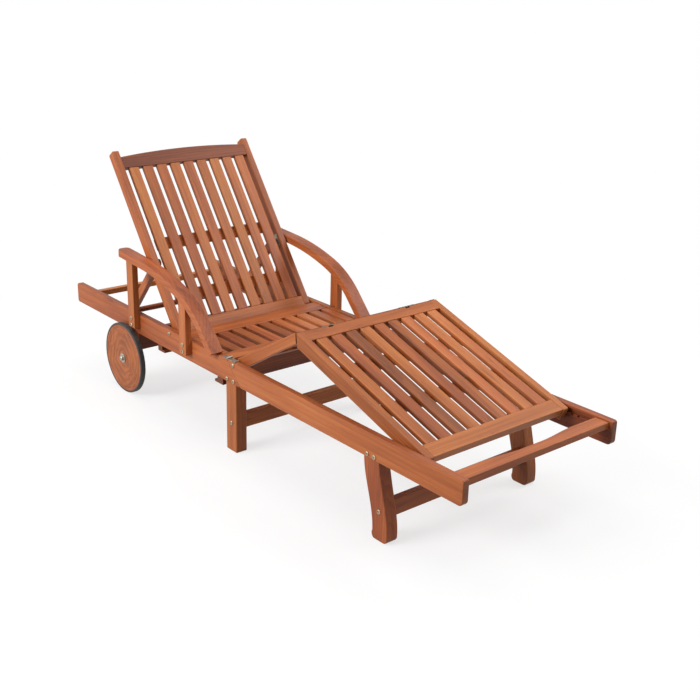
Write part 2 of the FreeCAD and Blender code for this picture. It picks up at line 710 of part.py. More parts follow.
def prop_leg():
    y, z = PROP_FLAT
    shape = round_bar(y - PROP_HALF, y + PROP_LEN + PROP_HALF, z, PROP_HALF, -PROP_X[1], -PROP_X[0])
    shape = drilled(shape, [
        hole(-PROP_X[1], -PROP_X[0], y, z, PIVOT_R, PIVOT_GAP),
        hole(-PROP_X[1], -PROP_X[0], y + PROP_LEN, z, PROP_FOOT_R, PROP_FOOT_GAP),
    ])
    return prop_placed(shape)


def prop_foot():
    y, z = PROP_FLAT
    end_x = RAIL_IN - PROP_FOOT_SHORT
    bar = cylinder(PROP_FOOT_R, -end_x, end_x, y + PROP_LEN, z)
    return prop_placed(bar.makeFillet(EASE, cut_ends(bar)))


def thigh_placed(shape):
    return turned(shape, THIGH_PIVOT, -THIGH_ANGLE)


def knee_face(depth):
    """How far the mitred knee end falls back at a depth below the hinge axis."""
    return KNEE_GAP + max(depth, 0) * math.tan(math.radians(MITRE))


def thigh_stile():
    """Rounded at the pivot, its lower edge rising a little towards the knee."""
    y, z = THIGH_PIVOT
    knee_y = y - KNEE_S
    end = THIGH_TOP
    knee_low = z + THIGH_KNEE_LOW
    end_low = knee_y + knee_face(KNEE_N - THIGH_KNEE_LOW)
    lower = [(y, z - end)] + [(y - s, z + n) for s, n in THIGH_EDGE] + [(end_low, knee_low)]
    edges = [
        Part.Arc(V(0, y, z + end), V(0, y + end, z), V(0, y, z - end)).toShape(),
        spline(lower),
    ]
    edges += polyline([
        (end_low, knee_low),
        (knee_y + KNEE_GAP, z + KNEE_N),
        (knee_y + KNEE_GAP, z + THIGH_TOP),
        (y, z + THIGH_TOP),
    ])
    shape = prism(Part.Wire(edges), -STILE_OUT, -STILE_IN)
    shape = shape.makeFillet(EASE, [e for e in cut_ends(shape) if e.Length > LONG_EDGE])
    shape = drilled(shape, [hole(-STILE_OUT, -STILE_IN, y, z, PIVOT_R, PIVOT_GAP)])
    return thigh_placed(shape)


def thigh_box(x0, x1, s0, s1, n0, n1):
    return eased_box(x0, x1, THIGH_PIVOT[0] - s1, THIGH_PIVOT[0] - s0,
                     THIGH_PIVOT[1] + n0, THIGH_PIVOT[1] + n1)


def knee_notches(y, axis_z, side):
    """Cutters that open the knee end of a rail over the middle of each hinge."""
    y0, y1 = sorted((y, y + side * (KNEE_GAP + KNEE_NOTCH_LONG)))
    z0 = axis_z - KNEE_NOTCH_DEEP
    z1 = axis_z + THIGH_TOP
    return [box(x - KNEE_NOTCH_HALF, x + KNEE_NOTCH_HALF, y0, y1, z0, z1) for x in KNEE_HINGE_X]


def thigh_knee_rail():
    y = THIGH_PIVOT[0] - KNEE_S
    z = THIGH_PIVOT[1]
    low, top = THIGH_RAIL_N
    shape = plate([
        (y + THIGH_KNEE_RAIL, z + low, 0),
        (y + knee_face(KNEE_N - low), z + low, 0),
        (y + KNEE_GAP, z + KNEE_N, 0),
        (y + KNEE_GAP, z + top, 0),
        (y + THIGH_KNEE_RAIL, z + top, 0),
    ], -STILE_IN, STILE_IN)
    return thigh_placed(drilled(shape, knee_notches(y, z + KNEE_N, 1)))


def calf_placed(shape):
    return turned(shape, KNEE, CALF_ANGLE)


def calf_box(x0, x1, s0, s1, n0, n1):
    return eased_box(x0, x1, KNEE[0] - s1, KNEE[0] - s0, KNEE[1] + n0, KNEE[1] + n1)


def calf_stile():
    y, z = KNEE
    low = CALF_TOP - CALF_DEEP
    shape = plate([
        (y - KNEE_GAP, z + CALF_TOP, 0),
        (y - KNEE_GAP, z, 0),
        (y - knee_face(-low), z + low, 0),
        (y - CALF_END_S, z + low, CALF_END_CORNERS[0]),
        (y - CALF_END_S - CALF_NOSE, z + CALF_TOP, CALF_END_CORNERS[1]),
    ], -STILE_OUT, -STILE_IN)
    shape = shape.makeFillet(EASE, [e for e in cut_ends(shape) if e.Length > LONG_EDGE])
    pin_hole = hole(-STILE_OUT, -STILE_IN - PIN_SUNK, y - PIN_S, z + PIN_N, PIN_R)
    return calf_placed(drilled(shape, [pin_hole]))


def calf_knee_rail():
    y, z = KNEE
    low, top = CALF_RAIL_N
    shape = plate([
        (y - KNEE_GAP, z + top, 0),
        (y - KNEE_GAP, z, 0),
        (y - knee_face(-low), z + low, 0),
        (y - CALF_KNEE_RAIL, z + low, 0),
        (y - CALF_KNEE_RAIL, z + top, 0),
    ], -STILE_IN, STILE_IN)
    return calf_placed(drilled(shape, knee_notches(y, z, -1)))


def knee_leaf(centre_x, side):
    """Half of a butt hinge in the knee joint; side +1 lies on the thigh end, -1 on the calf end."""
    y, z = KNEE
    x0 = centre_x - KNEE_HINGE_LONG / 2
    x1 = centre_x + KNEE_HINGE_LONG / 2
    inner = y + side * (KNEE_GAP - KNEE_LEAF_THICK)
    outer = y + side * (KNEE_GAP - KNEE_LEAF_GAP)
    shift = side * KNEE_LEAF_FALL * math.tan(math.radians(MITRE))
    low = z - KNEE_LEAF_FALL
    leaf = plate([(inner, z, 0), (outer, z, 0), (outer + shift, low, 0), (inner + shift, low, 0)], x0, x1)
    shape = knuckled(leaf, side, x0, x1, KNEE, KNEE_KNUCKLE_R, KNEE_PIN_R)
    return turned(shape, KNEE, -THIGH_ANGLE if side > 0 else CALF_ANGLE)


def foot_bar():
    """Flat board between the rail ends with a hand hold scooped from its rear edge."""
    y0, y1 = FOOT_BAR_Y
    z0, z1 = FOOT_BAR_Z
    scoop_y = y1 - SCOOP_DEEP
    bottom = SCOOP_HALF - SCOOP_RUN
    points = [
        V(RAIL_IN, y1, z0), V(SCOOP_HALF, y1, z0), V(bottom, scoop_y, z0),
        V(-bottom, scoop_y, z0), V(-SCOOP_HALF, y1, z0), V(-RAIL_IN, y1, z0),
        V(-RAIL_IN, y0, z0), V(RAIL_IN, y0, z0),
    ]
    shape = Part.Face(Part.makePolygon(points + [points[0]])).extrude(V(0, 0, z1 - z0))
    uprights = [e for e in shape.Edges if e.BoundBox.ZLength > FLAT]
    shape = shape.makeFillet(SCOOP_BEND, [e for e in uprights if abs(e.CenterOfMass.x) < SCOOP_HALF + PAST])
    lips = [e for e in shape.Edges if e.BoundBox.ZLength < FLAT]
    return shape.makeFillet(LEG_EASE, lips)


def under_bearer(span_y, lip_side):
    """Rebated bar across under both side rails."""
    low = RAIL_LOW - BEARER_DEEP
    shape = eased_box(-RAIL_OUT, RAIL_OUT, span_y[0], span_y[1], low, RAIL_LOW)
    inner = span_y[0] if lip_side < 0 else span_y[1]
    y0, y1 = sorted((inner, inner - lip_side * BEARER_LIP_WIDE))
    end_x = RAIL_OUT + PAST
    return shape.cut(box(-end_x, end_x, y0, y1, low + BEARER_LIP_DEEP, RAIL_LOW + PAST))


def build():
    os.makedirs("parts", exist_ok=True)

    # Rear frame
    export_pair("rear_rail", rear_rail())
    export("head_bar", eased_box(-RAIL_IN, RAIL_IN, *HEAD_BAR_Y, *HEAD_BAR_Z))
    for name, span in (("seat_front_board", SEAT_FRONT_Y), ("seat_rear_board", SEAT_REAR_Y)):
        export(name, eased_box(-RAIL_IN, RAIL_IN, span[0], span[1], SEAT_TOP - BOARD, SEAT_TOP))
    slat_top = SEAT_TOP - SLAT_DROP
    seat_span = (SEAT_FRONT_Y[1], SEAT_REAR_Y[0], slat_top - SLAT_THICK, slat_top)
    side_slat = eased_box(-RAIL_IN, -STILE_IN, *seat_span)
    export_group("seat_slats", slats(2 * STILE_IN, *seat_span) + both_sides([side_slat]))
    export_pair("mid_leg", mid_leg())
    export("mid_cross_rail", eased_box(-LEG_IN, LEG_IN, *MID_RAIL_Y, *MID_RAIL_Z))
    export("mid_stretcher", stretcher(MID_STRETCHER_Y, MID_STRETCHER_Z, MID_STRETCHER_BOLT))
    export_group("axle_blocks", both_sides([axle_block()]))
    export("axle_board", eased_box(-RAIL_IN, RAIL_IN, *AXLE_BOARD_Y, *AXLE_BOARD_Z))
    export_group("stub_axles", both_sides([stub_axle()]))
    export_group("axle_caps", both_sides([axle_cap()]))
    export("under_bearer_front", under_bearer(FRONT_BEARER_Y, 1))
    export("under_bearer_rear", under_bearer(REAR_BEARER_Y, -1))
    export_group("prop_racks", both_sides([rack()]))
    arm_shape = arm()
    export_pair("arm", arm_shape)
    export_pair("front_post", post(FRONT_POST_Y, arm_shape))
    export_pair("rear_post", post(REAR_POST_Y, arm_shape))
    export_group("fold_hinge_rear_leaves", both_sides([fold_leaf(1)]))
    leg_tip = -LEG_IN - BOLT_SHORT
    stile_tip = -STILE_IN - BOLT_SHORT
    bolts = [bolt(-RAIL_OUT, leg_tip, y, z) for y, z in MID_LEG_BOLTS]
    bolts.append(bolt(-LEG_OUT, -STRETCHER_BOLT_TIP, *MID_STRETCHER_BOLT))
    for post_y in (FRONT_POST_Y, REAR_POST_Y):
        bolts += [bolt(-RAIL_OUT - BOARD, -RAIL_IN - BOLT_SHORT, post_y, z) for z in POST_BOLT_Z]
    bolts.append(bolt(-RAIL_OUT, stile_tip, *BACK_PIVOT, PIVOT_R))
    export_group("rear_frame_bolts", both_sides(bolts))

    # Back
    export_pair("back_stile", back_stile())
    export("back_crest_rail", back_crest())
    export("back_bottom_rail", back_placed(back_box(-STILE_IN, STILE_IN, *BACK_RAIL_U, *BACK_RAIL_N)))
    back_y, back_z = BACK_PIVOT
    slat_low = back_z + BACK_SLAT_N
    panel = slats(2 * STILE_IN, back_y + BACK_RAIL_U[1], back_y + CREST_LOW, slat_low, slat_low + SLAT_THICK)
    export_group("back_slats", [back_placed(s) for s in panel])
    battens = [back_box(-BACK_BATTEN_X, BACK_BATTEN_X, u - BATTEN_HALF, u + BATTEN_HALF,
                        BACK_SLAT_N - BATTEN_DEEP, BACK_SLAT_N) for u in BACK_BATTEN_U]
    export_group("back_battens", [back_placed(s) for s in battens])
    export_group("prop_brackets", both_sides([prop_bracket()]))
    export_group("prop_legs", both_sides([prop_leg()]))
    export("prop_foot_bar", prop_foot())

    # Front frame
    export_pair("front_rail", front_rail())
    export("foot_bar", foot_bar())
    export_pair("front_leg", front_leg())
    export("front_stretcher", stretcher(FRONT_STRETCHER_Y, FRONT_STRETCHER_Z, FRONT_STRETCHER_BOLT))
    export_group("fold_hinge_front_leaves", both_sides([fold_leaf(-1)]))
    bolts = [bolt(-RAIL_OUT, leg_tip, y, z) for y, z in FRONT_LEG_BOLTS]
    bolts.append(bolt(-LEG_OUT, -STRETCHER_BOLT_TIP, *FRONT_STRETCHER_BOLT))
    bolts.append(bolt(-RAIL_OUT, stile_tip, *THIGH_PIVOT, PIVOT_R))
    export_group("front_frame_bolts", both_sides(bolts))

    # Thigh panel
    export_pair("thigh_stile", thigh_stile())
    lower_rail = thigh_box(-STILE_IN, STILE_IN, *THIGH_RAIL_S, *THIGH_RAIL_N)
    export("thigh_lower_rail", thigh_placed(lower_rail))
    export("thigh_knee_rail", thigh_knee_rail())
    thigh_y, thigh_z = THIGH_PIVOT
    slat_low = thigh_z + THIGH_SLAT_N
    panel = slats(2 * STILE_IN, thigh_y - KNEE_S + THIGH_KNEE_RAIL, thigh_y - THIGH_RAIL_S[1],
                  slat_low, slat_low + SLAT_THICK)
    export_group("thigh_slats", [thigh_placed(s) for s in panel])
    export_group("knee_hinge_thigh_leaves", [knee_leaf(x, 1) for x in KNEE_HINGE_X])

    # Calf panel
    export_pair("calf_stile", calf_stile())
    export("calf_knee_rail", calf_knee_rail())
    foot_rail = calf_box(-STILE_IN, STILE_IN, CALF_FOOT_RAIL, CALF_END_S, *CALF_RAIL_N)
    export("calf_foot_rail", calf_placed(foot_rail))
    calf_y, calf_z = KNEE
    slat_top = calf_z + CALF_SLAT_N
    panel = slats(2 * STILE_IN, calf_y - CALF_FOOT_RAIL, calf_y - CALF_KNEE_RAIL,
                  slat_top - SLAT_THICK, slat_top)
    export_group("calf_slats", [calf_placed(s) for s in panel])
    battens = [calf_box(-STILE_IN, STILE_IN, s - BATTEN_HALF, s + BATTEN_HALF,
                        CALF_BATTEN_N, CALF_SLAT_N - SLAT_THICK) for s in CALF_BATTEN_S]
    export_group("calf_battens", [calf_placed(s) for s in battens])
    pin = cylinder(PIN_R, -RAIL_IN - GROOVE_DEEP + PIN_SHORT, -STILE_IN - PIN_SUNK,
                   calf_y - PIN_S, calf_z + PIN_N)
    export_group("calf_foot_pins", both_sides([calf_placed(pin)]))
    export_group("knee_hinge_calf_leaves", [knee_leaf(x, -1) for x in KNEE_HINGE_X])

    # Wheels
    export_pair("wheel_disc", wheel_disc())
    export_pair("wheel_tyre", tyre())


build()
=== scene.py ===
import bpy
import math
from mathutils import Matrix, Vector


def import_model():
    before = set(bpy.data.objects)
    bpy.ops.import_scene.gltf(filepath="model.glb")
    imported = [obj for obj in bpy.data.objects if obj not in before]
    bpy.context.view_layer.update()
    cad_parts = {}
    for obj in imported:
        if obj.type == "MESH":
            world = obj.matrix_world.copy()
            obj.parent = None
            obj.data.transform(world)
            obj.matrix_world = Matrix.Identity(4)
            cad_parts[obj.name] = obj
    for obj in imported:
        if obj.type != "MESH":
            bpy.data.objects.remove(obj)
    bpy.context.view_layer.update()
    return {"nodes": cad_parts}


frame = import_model()
NODES = frame["nodes"]

# Tilt of each panel at rest, in degrees about the X direction
BACK_LEAN = 53.5
PROP_LEAN = -49.6
THIGH_LEAN = -30.0
CALF_LEAN = 17.95

# Spacing of the slats across, in metres
SLAT_PITCH = 0.0538
SLAT_START = -0.251

# Wheel centre along Y and Z, in metres
WHEEL_Y = 0.617
WHEEL_Z = 0.125

# Wood tones, linear colour
WOOD_DARK = (0.135, 0.032, 0.009, 1)
WOOD_RED = (0.290, 0.075, 0.018, 1)
WOOD_MID = (0.435, 0.130, 0.032, 1)
WOOD_PALE = (0.600, 0.225, 0.072, 1)
WOOD_PORE = (0.100, 0.026, 0.009, 1)
WOOD_END = (0.125, 0.036, 0.012, 1)
WOOD_EDGE = (0.660, 0.280, 0.115, 1)

# Grain noise, cycles per metre along the board and across it
SWAY_GRAIN = (2.6, 14.0, 14.0)
FIGURE_GRAIN = (1.6, 22.0, 22.0)
STREAK_GRAIN = (7.0, 330.0, 330.0)
PORE_GRAIN = (30.0, 1400.0, 1400.0)
KNOT_GRAIN = (7.0, 32.0, 32.0)

# How far boards are shifted in the log, and how far their pith line lies from them, in metres
BOARD_SHUFFLE = (7.0, 3.0, 3.0)
PITH_SPREAD = (0.0, 0.34, 0.30)
RING_STRETCH = (0.05, 1.0, 1.0)
SWAY_ACROSS = 0.045
SWAY_DEEP = 0.03

# Shares of the grain layers in a board's tone
FIGURE_SHARE = 0.54
STREAK_SHARE = 0.28
RING_SHARE = 0.07
PORE_SHARE = 0.5
KNOT_SHARE = 0.55
END_SHARE = 0.45
EDGE_SHARE = 0.22

# Wheel disc: wander of the figure in metres, and shares of its layers in the tone
WHEEL_SWAY_Y = 0.09
WHEEL_SWAY_Z = 0.06
WHEEL_RING_SHARE = 0.13
WHEEL_STREAK_SHARE = 0.45
WHEEL_PATCH_SHARE = 0.42
WHEEL_EDGE_SHARE = 0.2

# Metal and rubber, linear colour
BOLT_TINT = (0.40, 0.32, 0.22, 1)
HUB_TINT = (0.42, 0.39, 0.34, 1)
HINGE_TINT = (0.28, 0.25, 0.20, 1)
DULL_TINT = (0.10, 0.07, 0.05, 1)
STEEL_EDGE = (0.85, 0.82, 0.78, 1)
STEEL_EDGE_SHARE = 0.35
RUBBER_BLACK = (0.018, 0.018, 0.019, 1)
RUBBER_DUST = (0.060, 0.056, 0.052, 1)

# Studio
FLOOR_HALF = 20.0
FLOOR_LIT = (0.42, 0.42, 0.42, 1)
FLOOR_SEEN = (0.92, 0.92, 0.92, 1)
FLOOR_GLOW = (0.70, 1.0)      # share of plain white on the floor, near the piece and far from it
FLOOR_FADE = (0.9, 1.9)       # distances between which it grows, in metres
SKY_COLOUR = (1.0, 0.98, 0.96, 1)
SKY_LEVEL = 0.25
LIGHTS = [                    # name, place, target, size in metres, watts
    ("key", (-4.4, 0.9, 2.6), (0.0, 0.0, 0.35), 2.4, 215.0),
    ("top", (-0.3, 0.9, 4.0), (0.0, 0.0, 0.3), 2.6, 70.0),
    ("sheen", (2.4, -1.3, 2.9), (0.0, 0.5, 0.5), 2.0, 75.0),
]

# Camera, angles in radians
CAMERA_PLACE = (-2.0022, -2.5596, 1.4736)
CAMERA_YAW = 0.7076
CAMERA_PITCH = -0.3543
CAMERA_ROLL = 0.0284
CAMERA_LENS = 55.12
CAMERA_SENSOR = 36.0


class Nodes:
    """Short calls for building one material's node tree."""

    def __init__(self, name):
        self.material = bpy.data.materials.new(name)
        self.material.use_nodes = True
        self.tree = self.material.node_tree
        self.tree.nodes.clear()

    def add(self, kind, inputs=None, **settings):
        node = self.tree.nodes.new(kind)
        for key, value in settings.items():
            setattr(node, key, value)
        for key, value in (inputs or {}).items():
            self.feed(node.inputs[key], value)
        return node

    def feed(self, socket, value):
        if isinstance(value, bpy.types.NodeSocket):
            self.tree.links.new(value, socket)
        else:
            socket.default_value = value

    def math(self, operation, a, b=0.0):
        return self.add("ShaderNodeMath", {0: a, 1: b}, operation=operation).outputs[0]

    def vector(self, operation, a, b):
        return self.add("ShaderNodeVectorMath", {0: a, 1: b}, operation=operation).outputs[0]

    def combine(self, **parts):
        return self.add("ShaderNodeCombineXYZ", parts).outputs[0]

    def span(self, value, low, high, to_low=0.0, to_high=1.0):
        inputs = {"Value": value, "From Min": low, "From Max": high, "To Min": to_low, "To Max": to_high}
        return self.add("ShaderNodeMapRange", inputs).outputs["Result"]

    def ramp(self, value, stops):
        node = self.add("ShaderNodeValToRGB", {"Fac": value})
        elements = node.color_ramp.elements
        while len(elements) < len(stops):
            elements.new(0.5)
        for element, (place, colour) in zip(elements, stops):
            element.position = place
            element.color = colour
        return node.outputs["Color"]

    def mix(self, factor, a, b):
        node = self.add("ShaderNodeMix", data_type="RGBA", blend_type="MIX")
        for name, value in (("Factor", factor), ("A", a), ("B", b)):
            self.feed([s for s in node.inputs if s.name == name and s.enabled][0], value)
        return [s for s in node.outputs if s.enabled][0]

    def noise(self, vector, scale, detail=3.0, rough=0.55, distort=0.0):
        inputs = {
            "Vector": vector, "Scale": scale, "Detail": detail, "Roughness": rough, "Distortion": distort}
        return self.add("ShaderNodeTexNoise", inputs).outputs["Fac"]

    def rings(self, vector, scale, distort, detail_scale, profile):
        inputs = {
            "Vector": vector, "Scale": scale, "Distortion": distort, "Detail": 3.0,
            "Detail Scale": detail_scale, "Detail Roughness": 0.6}
        settings = {"wave_type": "RINGS", "rings_direction": "X", "wave_profile": profile}
        return self.add("ShaderNodeTexWave", inputs, **settings).outputs["Fac"]

    def bump(self, height, strength, distance):
        inputs = {"Height": height, "Strength": strength, "Distance": distance}
        return self.add("ShaderNodeBump", inputs).outputs[0]

    def finish(self, shader):
        self.add("ShaderNodeOutputMaterial", {"Surface": shader})
        return self.material

    def surface(self, colour, rough, bump, **more):
        inputs = {"Base Color": colour, "Roughness": rough, "Normal": bump}
        inputs.update({key.replace("_", " "): value for key, value in more.items()})
        return self.finish(self.add("ShaderNodeBsdfPrincipled", inputs).outputs[0])


def edge_wear(n, radius):
    """1 along sharp edges, 0 on flat faces."""
    bevel = n.add("ShaderNodeBevel", {"Radius": radius}, samples=4).outputs["Normal"]
    normal = n.add("ShaderNodeNewGeometry").outputs["Normal"]
    dot = n.add("ShaderNodeVectorMath", {0: bevel, 1: normal}, operation="DOT_PRODUCT").outputs["Value"]
    return n.span(dot, 0.995, 0.90)


def wood(name, along="Y", lean=0.0, slatted=False, tone=0.0, spread=0.07, top=0.0):
    """Oiled reddish hardwood, grained along one direction of a tilted panel, with painted shade darkening
    its upward faces where asked.
    """
    n = Nodes(name)
    source = n.add("ShaderNodeTexCoord")

    def level_with_panel(vector):
        inputs = {"Vector": vector, "Angle": math.radians(-lean)}
        return n.add("ShaderNodeVectorRotate", inputs, rotation_type="X_AXIS").outputs[0]

    axes = n.add("ShaderNodeSeparateXYZ", {0: level_with_panel(source.outputs["Object"])}).outputs
    facing = n.add("ShaderNodeSeparateXYZ", {0: level_with_panel(source.outputs["Normal"])}).outputs

    # Each board or slat gets its own chance, and with it its own place in the log
    chance = n.add("ShaderNodeObjectInfo").outputs["Random"]
    if slatted:
        step = n.math("FLOOR", n.math("DIVIDE", n.math("SUBTRACT", axes["X"], SLAT_START), SLAT_PITCH))
        seed = {"Vector": n.combine(X=step, Y=chance)}
        chance = n.add("ShaderNodeTexWhiteNoise", seed, noise_dimensions="3D").outputs["Value"]
    shuffle = n.add("ShaderNodeTexWhiteNoise", {"W": chance}, noise_dimensions="1D").outputs["Color"]
    order = {"X": "XYZ", "Y": "YXZ", "Z": "ZXY"}[along]
    board = n.combine(X=axes[order[0]], Y=axes[order[1]], Z=axes[order[2]])
    place = n.vector("ADD", board, n.vector("MULTIPLY", shuffle, BOARD_SHUFFLE))

    def grain(stretch, detail, rough, distort=0.0):
        return n.noise(n.vector("MULTIPLY", place, stretch), 1.0, detail, rough, distort)

    # Growth rings about a pith line beside the board, warped along the grain
    pith = n.vector("MULTIPLY", n.vector("SUBTRACT", shuffle, (0.5, 0.5, 0.5)), PITH_SPREAD)
    sway = grain(SWAY_GRAIN, 3.0, 0.5)
    sway = n.combine(Y=n.math("MULTIPLY", sway, SWAY_ACROSS), Z=n.math("MULTIPLY", sway, SWAY_DEEP))
    log = n.vector("ADD", n.vector("ADD", board, pith), sway)
    rings = n.rings(n.vector("MULTIPLY", log, RING_STRETCH), 30.0, 2.2, 1.6, "SAW")

    figure = grain(FIGURE_GRAIN, 4.0, 0.55, 0.4)
    streak = grain(STREAK_GRAIN, 4.0, 0.65)
    pores = n.span(grain(PORE_GRAIN, 2.0, 0.6), 0.60, 0.72)
    knots = n.span(grain(KNOT_GRAIN, 2.0, 0.5, 0.3), 0.66, 0.78, 0.0, KNOT_SHARE)

    level = n.math("ADD", n.math("MULTIPLY", figure, FIGURE_SHARE), n.math("MULTIPLY", streak, STREAK_SHARE))
    level = n.math("ADD", level, n.math("MULTIPLY", rings, RING_SHARE))
    level = n.math("ADD", level, n.span(chance, 0.0, 1.0, tone - spread, tone + spread))
    # Painted shade: faces that look up are made darker by top, standing in for a lower key light
    if top:
        level = n.math("ADD", level, n.span(facing["Z"], 0.3, 0.8, 0.0, -top))
    colour = n.ramp(level, [(0.20, WOOD_DARK), (0.37, WOOD_RED), (0.52, WOOD_MID), (0.76, WOOD_PALE)])
    hue = {"Hue": n.span(shuffle, 0.0, 1.0, 0.494, 0.504), "Saturation": 1.0, "Value": 1.0, "Fac": 1.0}
    hue["Color"] = colour
    colour = n.add("ShaderNodeHueSaturation", hue).outputs[0]
    colour = n.mix(n.math("MAXIMUM", n.math("MULTIPLY", pores, PORE_SHARE), knots), colour, WOOD_PORE)
    end_grain = n.span(n.math("ABSOLUTE", facing[along]), 0.82, 0.96, 0.0, END_SHARE)
    colour = n.mix(end_grain, colour, WOOD_END)
    colour = n.mix(n.math("MULTIPLY", edge_wear(n, 0.0022), EDGE_SHARE), colour, WOOD_EDGE)

    rough = n.span(streak, 0.25, 0.75, 0.36, 0.56)
    relief = n.math("SUBTRACT", n.math("MULTIPLY", streak, 0.7), n.math("MULTIPLY", pores, 0.6))
    return n.surface(colour, rough, n.bump(relief, 0.22, 0.0005), Specular_IOR_Level=0.3)


def wheel_wood(name):
    """Turned wood disc with curved figure round the hub."""
    n = Nodes(name)
    place = n.add("ShaderNodeTexCoord").outputs["Object"]
    centred = n.vector("ADD", place, (0.0, -WHEEL_Y, -WHEEL_Z))
    sway = n.noise(n.vector("MULTIPLY", centred, (0.0, 11.0, 11.0)), 1.0, 2.0, 0.5)
    sway = n.math("SUBTRACT", sway, 0.5)
    shift = n.combine(Y=n.math("MULTIPLY", sway, WHEEL_SWAY_Y), Z=n.math("MULTIPLY", sway, WHEEL_SWAY_Z))
    warped = n.vector("ADD", centred, shift)
    rings = n.rings(n.vector("MULTIPLY", warped, (0.0, 1.0, 0.8)), 14.0, 2.4, 1.2, "SIN")
    streak = n.noise(n.vector("MULTIPLY", warped, (60.0, 60.0, 60.0)), 1.0, 5.0, 0.7, 0.5)
    patch = n.noise(centred, 14.0, 4.0, 0.6)
    level = n.math(
        "ADD", n.math("MULTIPLY", rings, WHEEL_RING_SHARE), n.math("MULTIPLY", streak, WHEEL_STREAK_SHARE))
    level = n.math("ADD", level, n.math("MULTIPLY", patch, WHEEL_PATCH_SHARE))
    colour = n.ramp(level, [(0.26, WOOD_DARK), (0.45, WOOD_RED), (0.67, WOOD_MID), (0.95, WOOD_PALE)])
    colour = n.mix(n.math("MULTIPLY", edge_wear(n, 0.0015), WHEEL_EDGE_SHARE), colour, WOOD_EDGE)
    rough = n.span(streak, 0.3, 0.7, 0.4, 0.6)
    return n.surface(colour, rough, n.bump(streak, 0.2, 0.0005), Specular_IOR_Level=0.36)


def rubber(name):
    """Black tyre rubber, dusty in patches."""
    n = Nodes(name)
    place = n.add("ShaderNodeTexCoord").outputs["Object"]
    dust = n.noise(place, 38.0, 4.0, 0.6)
    grit = n.noise(place, 900.0, 2.0, 0.5)
    colour = n.ramp(dust, [(0.35, RUBBER_BLACK), (0.75, RUBBER_DUST)])
    return n.surface(colour, n.span(dust, 0.3, 0.7, 0.55, 0.8), n.bump(grit, 0.25, 0.0004))


def plated_steel(name, tint):
    """Zinc plated fitting with fine scratches and dull patches."""
    n = Nodes(name)
    place = n.add("ShaderNodeTexCoord").outputs["Object"]
    scratch = n.noise(n.vector("MULTIPLY", place, (300.0, 2400.0, 900.0)), 1.0, 2.0, 0.6)
    patch = n.noise(place, 120.0, 3.0, 0.6)
    pale = tuple(c * 1.25 for c in tint[:3]) + (1,)
    dull = tuple(c * 0.55 for c in tint[:3]) + (1,)
    colour = n.ramp(patch, [(0.30, dull), (0.50, tint), (0.75, pale)])
    colour = n.mix(n.math("MULTIPLY", edge_wear(n, 0.0008), STEEL_EDGE_SHARE), colour, STEEL_EDGE)
    rough = n.span(scratch, 0.3, 0.7, 0.28, 0.5)
    return n.surface(colour, rough, n.bump(scratch, 0.12, 0.0002), Metallic=1.0)


def paint(material, names):
    for name in names:
        slots = NODES[name].data.materials
        slots.clear()
        slots.append(material)


def sides(*names):
    return [name + side for name in names for side in ("_right", "_left")]


# Rear and front frame
# Arms and near rails get painted shade on their upward faces through top
paint(wood("wood_arms", "Y", tone=0.03, spread=0.02, top=0.12), sides("arm"))
paint(wood("wood_rails", "Y", tone=0.03, spread=0.03, top=0.10), ["rear_rail_right", "prop_racks"])
paint(wood("wood_front_rail", "Y", tone=0.06, spread=0.02, top=0.10), ["front_rail_right"])
paint(wood("wood_far_rear_rail", "Y", tone=-0.11, spread=0.02), ["rear_rail_left"])
paint(wood("wood_far_front_rail", "Y", tone=-0.19, spread=0.02), ["front_rail_left"])
paint(wood("wood_cross", "X"), [
    "head_bar", "mid_stretcher", "foot_bar", "front_stretcher", "prop_foot_bar"])
paint(wood("wood_seat_cross", "X", tone=-0.06, spread=0.02), ["seat_front_board", "seat_rear_board"])
# Parts under the seat are painted much darker, a painted shade for the shadow they sit in
paint(wood("wood_under_painted_shade", "X", tone=-0.24, spread=0.03), [
    "mid_cross_rail", "axle_board", "under_bearer_front", "under_bearer_rear"])
paint(wood("wood_upright", "Z"), sides("mid_leg", "front_post", "rear_post") + ["axle_blocks"])
paint(wood("wood_front_legs", "Z", tone=-0.06, spread=0.02), sides("front_leg"))
paint(wood("wood_seat_slats", "Y", slatted=True, tone=-0.06, spread=0.09), ["seat_slats"])

# Back and its prop
paint(wood("wood_back_long", "Y", BACK_LEAN, tone=-0.04, spread=0.04), sides("back_stile"))
paint(wood("wood_back_cross", "X", BACK_LEAN, tone=0.04, spread=0.02), ["back_bottom_rail", "back_battens"])
paint(wood("wood_crest", "X", BACK_LEAN, tone=-0.17, spread=0.01), ["back_crest_rail"])
paint(wood("wood_back_slats", "Y", BACK_LEAN, slatted=True, spread=0.10), ["back_slats"])
paint(wood("wood_prop", "Y", PROP_LEAN), ["prop_legs"])

# Thigh and calf panels
paint(wood("wood_thigh_long", "Y", THIGH_LEAN), sides("thigh_stile"))
paint(wood("wood_thigh_cross", "X", THIGH_LEAN), ["thigh_lower_rail", "thigh_knee_rail"])
paint(wood("wood_thigh_slats", "Y", THIGH_LEAN, slatted=True), ["thigh_slats"])
paint(wood("wood_calf_long", "Y", CALF_LEAN, tone=0.03, spread=0.02), ["calf_stile_left"])
paint(wood("wood_calf_near", "Y", CALF_LEAN, tone=-0.07, spread=0.02), ["calf_stile_right"])
paint(wood("wood_calf_cross", "X", CALF_LEAN), ["calf_knee_rail", "calf_battens"])
paint(wood("wood_calf_foot", "X", CALF_LEAN, tone=0.07, spread=0.02), ["calf_foot_rail"])
paint(wood("wood_calf_slats", "Y", CALF_LEAN, slatted=True, tone=-0.02, spread=0.12), ["calf_slats"])

